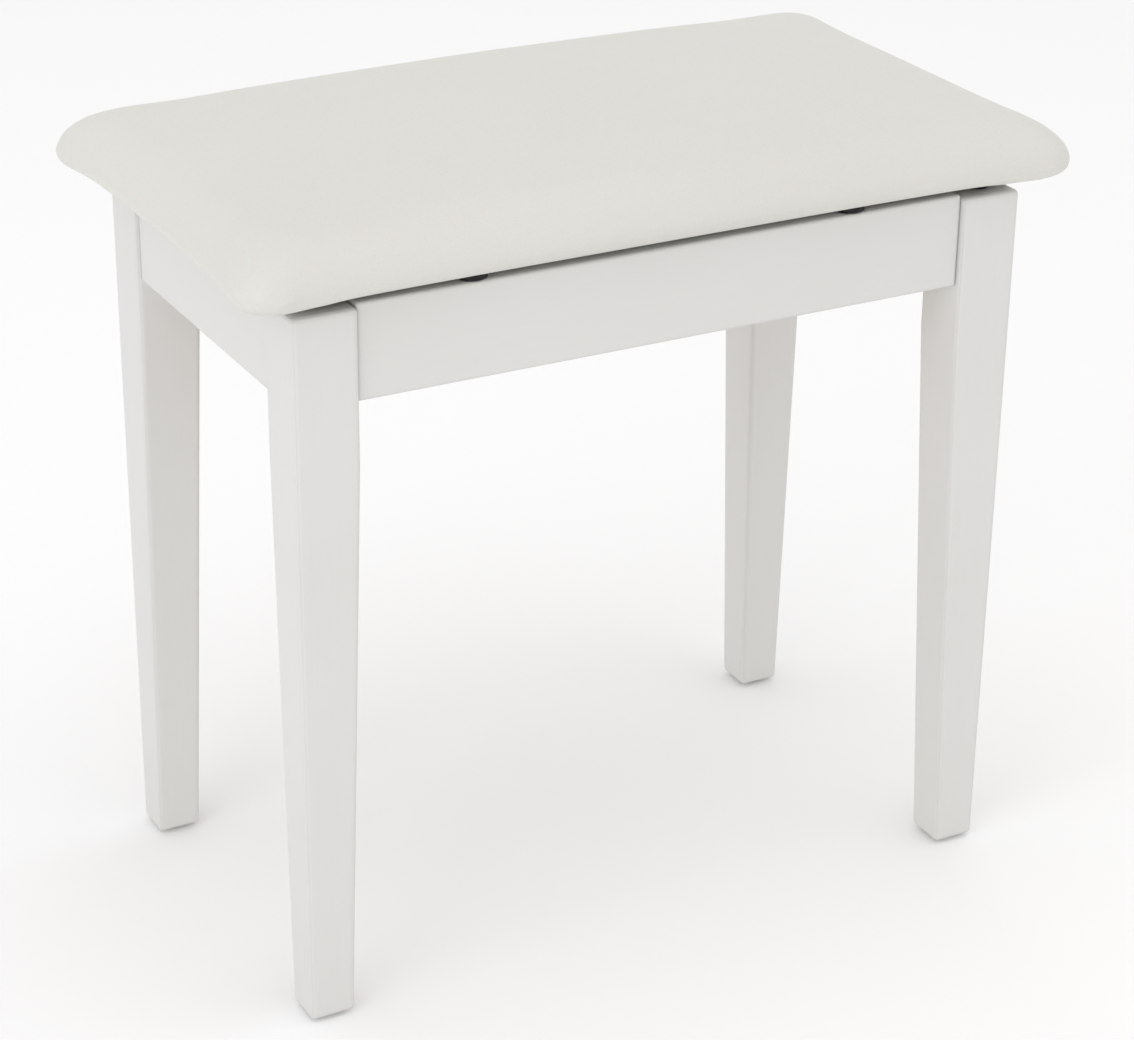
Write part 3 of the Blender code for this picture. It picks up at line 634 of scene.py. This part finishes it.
def cream_leatherette():
    """PVC leatherette on a knitted back: warm off-white, rolled with a fine pebble grain whose
    creases are darkened by a little painted shade, with a soft semi-matt top coat."""
    material, tree, shader = new_material("cream_leatherette")
    place = add_node(tree, "TexCoord", output="Object")
    warp = add_node(tree, "TexNoise", {
        "Vector": place, "Scale": 350.0, "Detail": 2.0}, output="Color")
    pushed = add_node(tree, "VectorMath", {0: warp, "Scale": 0.0006}, operation="SCALE")
    bent = add_node(tree, "VectorMath", {0: place, 1: pushed}, operation="ADD")
    cells = add_node(tree, "TexVoronoi", {"Vector": bent, "Scale": 1 / PEBBLE},
                     output="Distance", feature="DISTANCE_TO_EDGE")
    crease = add_node(tree, "MapRange", {"Value": cells, "From Min": 0.0, "From Max": 0.22})
    cloud = add_node(tree, "TexNoise", {"Vector": place, "Scale": 7.0, "Detail": 3.0})
    fine = add_node(tree, "TexNoise", {"Vector": place, "Scale": 4200.0, "Detail": 2.0})
    base = add_node(tree, "MixRGB", {
        "Fac": cloud, "Color1": linear(LEATHER), "Color2": linear(LEATHER_DEEP)})
    # painted shade: the base colour darkens by up to 4.5 per cent in the pebble grain's creases
    shade = add_node(tree, "MapRange", {"Value": crease, "To Min": 0.955, "To Max": 1.0})
    tone = add_node(tree, "VectorMath", {0: base, "Scale": shade}, operation="SCALE")
    gloss = add_node(tree, "MapRange", {"Value": crease, "To Min": 0.60, "To Max": 0.46})
    grain = add_node(tree, "Bump", {"Height": crease, "Strength": 0.45, "Distance": 0.00008})
    skin = add_node(tree, "Bump", {
        "Height": fine, "Normal": grain, "Strength": 0.25, "Distance": 0.00002})
    join(tree, shader, {
        "Base Color": tone, "Roughness": gloss, "Normal": skin, "IOR": 1.50,
        "Coat Weight": 0.12, "Coat Roughness": 0.35, "Sheen Weight": 0.08,
        "Subsurface Weight": 0.05, "Subsurface Scale": 0.002})
    return material


pad_mesh = tidy_mesh(surface_mesh("cream_pad", pad_form(SWELL_ROOM)))
pad = add_piece(
    "cream_pad", pad_mesh, cream_leatherette(), "lid",
    ["seat_cover", "seat_foam"])
remesh = pad.modifiers.new("remesh", "REMESH")
remesh.mode = "VOXEL"
remesh.voxel_size = VOXEL
apply_modifiers(pad)
swell(pad)
smooth = pad.modifiers.new("smooth", "SMOOTH")
smooth.iterations = 4
smooth.factor = 0.4
finer = pad.modifiers.new("finer", "SUBSURF")
finer.levels = finer.render_levels = 1
pad_mesh = apply_modifiers(pad)
draw_to_size(pad_mesh)
add_pleats(pad_mesh)
cut_board_pocket(pad)
pad.data.shade_smooth()
pad.data.set_sharp_from_angle(angle=math.radians(50))


# ---------- dust cover ----------
# Black spun-bonded cloth, stretched over the board's underside and the turned-in
# leatherette, and fixed by a row of wire staples.

DUST_CLOTH = "#232323"
DUST_WORN = "#33312F"
DUST_THICKNESS = 0.0004
STAPLE_HALF = 0.0055          # half a staple's length
STAPLE_WIRE = 0.0003          # its wire's radius
STAPLE_LEG = 0.004
STAPLE_BEND = 0.0008          # radius of the bend between crown and leg
STAPLE_EDGE = 0.012           # from the cloth's edge
STAPLE_PITCH = 0.04
dust_low, dust_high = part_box("seat_dust_cover")


def spun_bond():
    """Spun-bonded polypropylene: thin black felt, speckled by its pressed bonding dots, with
    stray grey fibres and hardly any shine."""
    material, tree, shader = new_material("spun_bonded_dust_cloth")
    place = add_node(tree, "TexCoord", output="Object")
    dots = add_node(tree, "TexVoronoi", {"Vector": place, "Scale": 620.0}, output="Distance")
    stretch = add_node(tree, "Mapping", {"Vector": place, "Scale": (900.0, 160.0, 300.0)})
    fibres = add_node(tree, "TexNoise", {
        "Vector": stretch, "Scale": 1.0, "Detail": 5.0, "Distortion": 1.5})
    tone = add_node(tree, "MixRGB", {
        "Fac": fibres, "Color1": linear(DUST_CLOTH), "Color2": linear(DUST_WORN)})
    bump = add_node(tree, "Bump", {"Height": dots, "Strength": 0.5, "Distance": 0.0001})
    join(tree, shader, {
        "Base Color": tone, "Roughness": 0.92, "Normal": bump, "Sheen Weight": 0.25})
    return material


def dust_sheet():
    """A thin closed sheet inside the pad's outline: both faces ripple together by a sum of
    two cosines, fading to flat along the stapled edge."""
    outline = board_outline(np.array([dust_high.x, dust_high.y]))
    scale = np.concatenate([[0], np.linspace(0.06, 1, 30)])
    plan = outline * scale[:, None, None]
    x, y = plan[..., 0], plan[..., 1]
    slack = 1 - np.clip(scale[:, None], 0, 1) ** 4
    ripple = 0.00006 * slack * (np.cos(x * 95 + y * 40) + np.cos(y * 130 - x * 30))
    middle = (dust_low.z + dust_high.z) / 2
    lower = np.dstack([x, y, middle - DUST_THICKNESS / 2 + ripple])
    upper = np.dstack([x, y, middle + DUST_THICKNESS / 2 + ripple])
    return np.concatenate([lower, upper[::-1]])


def wire_staple():
    """A staple lying along X with its legs up: a straight crown with two round bends, swept
    by a small hexagonal wire."""
    bend = np.linspace(np.pi / 2, 0, 4)
    end_x = STAPLE_HALF - STAPLE_BEND + STAPLE_BEND * np.cos(bend)
    end_z = STAPLE_BEND - STAPLE_BEND * np.sin(bend)
    x = np.concatenate([-end_x[::-1], end_x])
    z = np.concatenate([end_z[::-1], end_z])
    x = np.concatenate([[x[0]], x, [x[-1]]])
    z = np.concatenate([[STAPLE_LEG], z, [STAPLE_LEG]])
    along = np.gradient(np.stack([x, z], axis=1), axis=0)
    along /= np.linalg.norm(along, axis=1, keepdims=True)
    t = np.linspace(0, 2 * np.pi, 6, endpoint=False)
    side, lift = STAPLE_WIRE * np.cos(t), STAPLE_WIRE * np.sin(t)
    ring_x = x[:, None] - along[:, 1:] * lift
    ring_z = z[:, None] + along[:, :1] * lift
    return np.stack([ring_x, np.repeat(side[None], len(x), axis=0), ring_z], axis=-1)


dust_mesh = tidy_mesh(surface_mesh("dust_cover", dust_sheet()))
dust_cover = add_piece(
    "dust_cover_cloth", dust_mesh, spun_bond(), "lid", ["seat_dust_cover"])

staple = wire_staple()
row = (np.arange(10) - 4.5) * STAPLE_PITCH
column = (np.arange(4) - 1.5) * STAPLE_PITCH
staple_y, staple_x = dust_high.y - STAPLE_EDGE, dust_high.x - STAPLE_EDGE
grids = [staple + np.array([x, sign * staple_y, 0]) for x in row for sign in (-1, 1)]
turned = staple[..., [1, 0, 2]]
grids += [turned + np.array([sign * staple_x, y, 0]) for y in column for sign in (-1, 1)]
points = np.concatenate([grid.reshape(-1, 3) for grid in grids])
points[:, 2] += (dust_low.z + dust_high.z - DUST_THICKNESS) / 2 - 0.0001
rings, sides = staple.shape[:2]
first_end = np.arange(sides)[::-1]
last_end = np.arange(sides) + (rings - 1) * sides
one_staple = [*ring_quads(rings, sides), first_end, last_end]
faces = [(face + k * rings * sides).tolist() for k in range(len(grids)) for face in one_staple]
staple_mesh = bpy.data.meshes.new("staples")
staple_mesh.from_pydata(points, [], faces)
add_piece("dust_cover_staples", tidy_mesh(staple_mesh), zinc, "lid")


# ---------- floor, light and camera ----------
# A pale studio floor, a bright surround, a large soft box at the left, one
# overhead and a small low one that lifts the pad's shoulders.

FLOOR = "#FDFDFD"
FLOOR_PALER = "#FEFEFE"
FLOOR_REACH = 12.0
FLOOR_DROP = 0.0002           # clear of the glides, so that the two never share a plane
WORLD_STRENGTH = 0.90


def add_light(name, place, target, size, power, colour):
    """A square soft box at `place` that faces `target`."""
    data = bpy.data.lights.new(name, "AREA")
    data.shape = "SQUARE"
    data.size = size
    data.energy = power
    data.color = linear(colour)[:3]
    light = bpy.data.objects.new(name, data)
    bpy.context.collection.objects.link(light)
    light.location = place
    light.rotation_euler = (Vector(target) - Vector(place)).to_track_quat("-Z", "Y").to_euler()


floor_material, floor_tree, floor_shader = new_material("studio_floor")
floor_place = add_node(floor_tree, "TexCoord", output="Object")
floor_cloud = add_node(floor_tree, "TexNoise", {"Vector": floor_place, "Scale": 3.0})
floor_tone = add_node(floor_tree, "MixRGB", {
    "Fac": floor_cloud, "Color1": linear(FLOOR), "Color2": linear(FLOOR_PALER)})
join(floor_tree, floor_shader, {"Base Color": floor_tone, "Roughness": 0.9})
floor_corners = [
    (x * FLOOR_REACH, y * FLOOR_REACH, -FLOOR_DROP) for x, y in CORNERS.values()]
floor_mesh = bpy.data.meshes.new("floor")
floor_mesh.from_pydata(floor_corners, [], [(0, 1, 3, 2)])
floor_mesh.materials.append(floor_material)
floor = bpy.data.objects.new("floor", floor_mesh)
bpy.context.collection.objects.link(floor)

world = bpy.data.worlds.new("studio")
world.use_nodes = True
surround = world.node_tree.nodes["Background"]
surround.inputs["Color"].default_value = linear("#FFFFFF")
surround.inputs["Strength"].default_value = WORLD_STRENGTH
bpy.context.scene.world = world
add_light("left_soft_box", (-2.6, -1.2, 1.5), (0, 0, 0.3), 1.8, 12.5, "#F4F8FF")
add_light("top_soft_box", (0.2, -0.4, 2.6), (0, 0, 0.3), 2.0, 7.0, "#FFFCF8")
add_light("low_fill_box", (-1.9, -2.5, 0.7), (0, 0, 0.4), 1.4, 5.0, "#FFFDFA")

# The camera stands to the front left, a little above, with a short telephoto lens.  Its
# distances are for legs that reach FITTED_LEG, and grow with the legs.
FITTED_LEG = 0.430
DISTANCE = 1.8566             # from a point AIM_HEIGHT above the floor
AIM_HEIGHT = 0.25
SIDEWAYS, DOWNWARD = 0.0039, 0.0321
LENS = 98.15                  # for a sensor 36 mm wide
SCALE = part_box("leg_front_left")[1].z / FITTED_LEG
azimuth, elevation, roll = (math.radians(angle) for angle in (-28.558, 25.156, 0.652))
back = Vector((
    math.sin(azimuth) * math.cos(elevation),
    -math.cos(azimuth) * math.cos(elevation),
    math.sin(elevation)))
level = Vector((math.cos(azimuth), math.sin(azimuth), 0))
rise = back.cross(level)
right = level * math.cos(roll) + rise * math.sin(roll)
top = rise * math.cos(roll) - level * math.sin(roll)
spot = Vector((0, 0, AIM_HEIGHT)) + back * DISTANCE + right * SIDEWAYS - top * DOWNWARD
camera_data = bpy.data.cameras.new("camera")
camera_data.sensor_width = 36.0
camera_data.lens = LENS
camera = bpy.data.objects.new("camera", camera_data)
bpy.context.collection.objects.link(camera)
facing = Matrix((right, top, back)).transposed().to_4x4()
camera.matrix_world = Matrix.Translation(spot * SCALE) @ facing
bpy.context.scene.camera = camera
